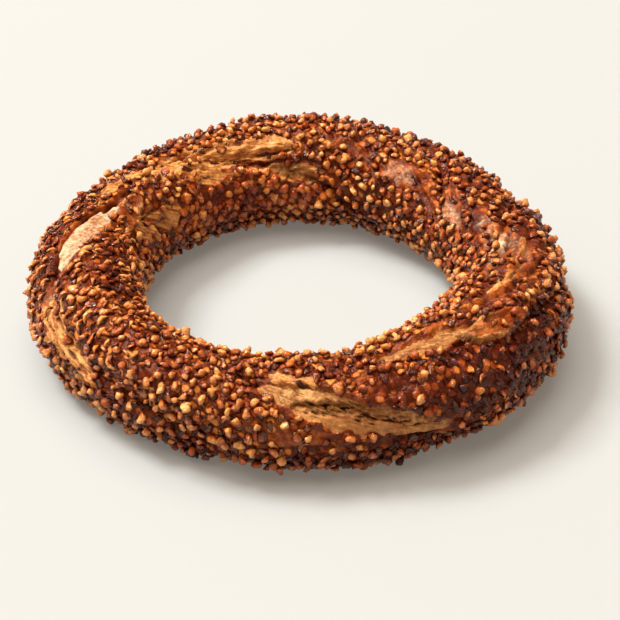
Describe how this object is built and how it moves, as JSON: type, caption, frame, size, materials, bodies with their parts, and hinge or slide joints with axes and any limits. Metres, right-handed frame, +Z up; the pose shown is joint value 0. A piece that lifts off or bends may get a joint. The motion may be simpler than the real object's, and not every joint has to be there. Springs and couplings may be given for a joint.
{
  "type": "sesame bread ring",
  "caption": "Simit: a ring of bread twisted from ropes of dough, with seams that tore open in baking and a coat of toasted sesame.",
  "frame": {"origin": "on the surface the ring lies on, below the middle of its box", "axes": "+Z up through the hole; -Y towards the side with the longest open seam; +X to that side's right"},
  "size_m": [0.1648, 0.1632, 0.0369],
  "materials": {
    "baked_crust": "glazed brown crust under toasted sesame seeds, satin with glossy spots"
  },
  "bodies": {
    "root": {"bread_ring": "baked_crust"}
  },
  "joints": []
}
